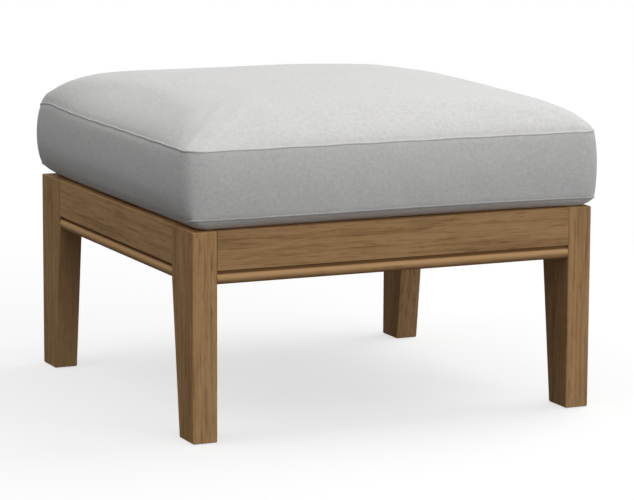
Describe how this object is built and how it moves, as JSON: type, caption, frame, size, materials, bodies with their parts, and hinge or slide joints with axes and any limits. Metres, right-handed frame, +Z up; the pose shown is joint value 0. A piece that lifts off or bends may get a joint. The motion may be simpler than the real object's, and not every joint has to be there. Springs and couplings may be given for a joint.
{
  "type": "outdoor ottoman footstool",
  "caption": "Low square wooden footstool with tapered legs, beaded aprons and a slatted deck under a loose crowned box cushion.",
  "frame": {"origin": "on the floor under the middle of the frame", "axes": "+Z up, +X to the right along the front apron, +Y from the front to the back, where the zip is"},
  "size_m": [0.6824, 0.6782, 0.497],
  "materials": {
    "oiled_hardwood": "satin oiled, fine straight grain",
    "plain_hardwood": "matte, unseen inner pieces",
    "cover_cloth": "matte plain weave",
    "piping_cloth": "matte plain weave",
    "fibre_fill": "matte wadding",
    "foam": "matte open cell foam",
    "zip_tape_cloth": "matte woven tape",
    "zip_metal": "satin",
    "screw_steel": "satin stainless",
    "glide_plastic": "matte"
  },
  "bodies": {
    "frame": {"leg_front_left": "oiled_hardwood", "leg_front_right": "oiled_hardwood", "leg_back_left": "oiled_hardwood", "leg_back_right": "oiled_hardwood", "apron_front": "oiled_hardwood", "apron_back": "oiled_hardwood", "apron_left": "oiled_hardwood", "apron_right": "oiled_hardwood", "slat_1": "oiled_hardwood", "slat_2": "oiled_hardwood", "slat_3": "oiled_hardwood", "slat_4": "oiled_hardwood", "slat_5": "oiled_hardwood", "slat_6": "oiled_hardwood", "slat_7": "oiled_hardwood", "cleat_front": "plain_hardwood", "cleat_back": "plain_hardwood", "middle_rail": "plain_hardwood", "corner_block_front_left": "plain_hardwood", "corner_block_front_right": "plain_hardwood", "corner_block_back_left": "plain_hardwood", "corner_block_back_right": "plain_hardwood", "foot_glide_front_left": "glide_plastic", "foot_glide_front_right": "glide_plastic", "foot_glide_back_left": "glide_plastic", "foot_glide_back_right": "glide_plastic", "cleat_screw_front_1": "screw_steel", "cleat_screw_front_2": "screw_steel", "cleat_screw_front_3": "screw_steel", "cleat_screw_back_1": "screw_steel", "cleat_screw_back_2": "screw_steel", "cleat_screw_back_3": "screw_steel"},
    "cushion": {"cover_top_panel": "cover_cloth", "cover_band": "cover_cloth", "cover_bottom_panel": "cover_cloth", "piping_top": "piping_cloth", "piping_bottom": "piping_cloth", "fibre_sleeve": "fibre_fill", "foam_core": "foam", "zip_tape": "zip_tape_cloth"},
    "zip_slider": {"zip_slider": "zip_metal"},
    "zip_pull": {"zip_pull": "zip_metal"}
  },
  "joints": [
    {"name": "cushion_lift", "type": "slide", "parent": "frame", "child": "cushion", "axis": [0, 0, 1], "range_m": [0, 0.15]},
    {"name": "zip_slide", "type": "slide", "parent": "cushion", "child": "zip_slider", "axis": [-1, 0, 0], "range_m": [0, 0.5]},
    {"name": "zip_pull_swing", "type": "hinge", "parent": "zip_slider", "child": "zip_pull", "pos_m": [0.25, 0.33955, 0.382], "axis": [0, 0, -1], "range_deg": [0, 180]}
  ]
}
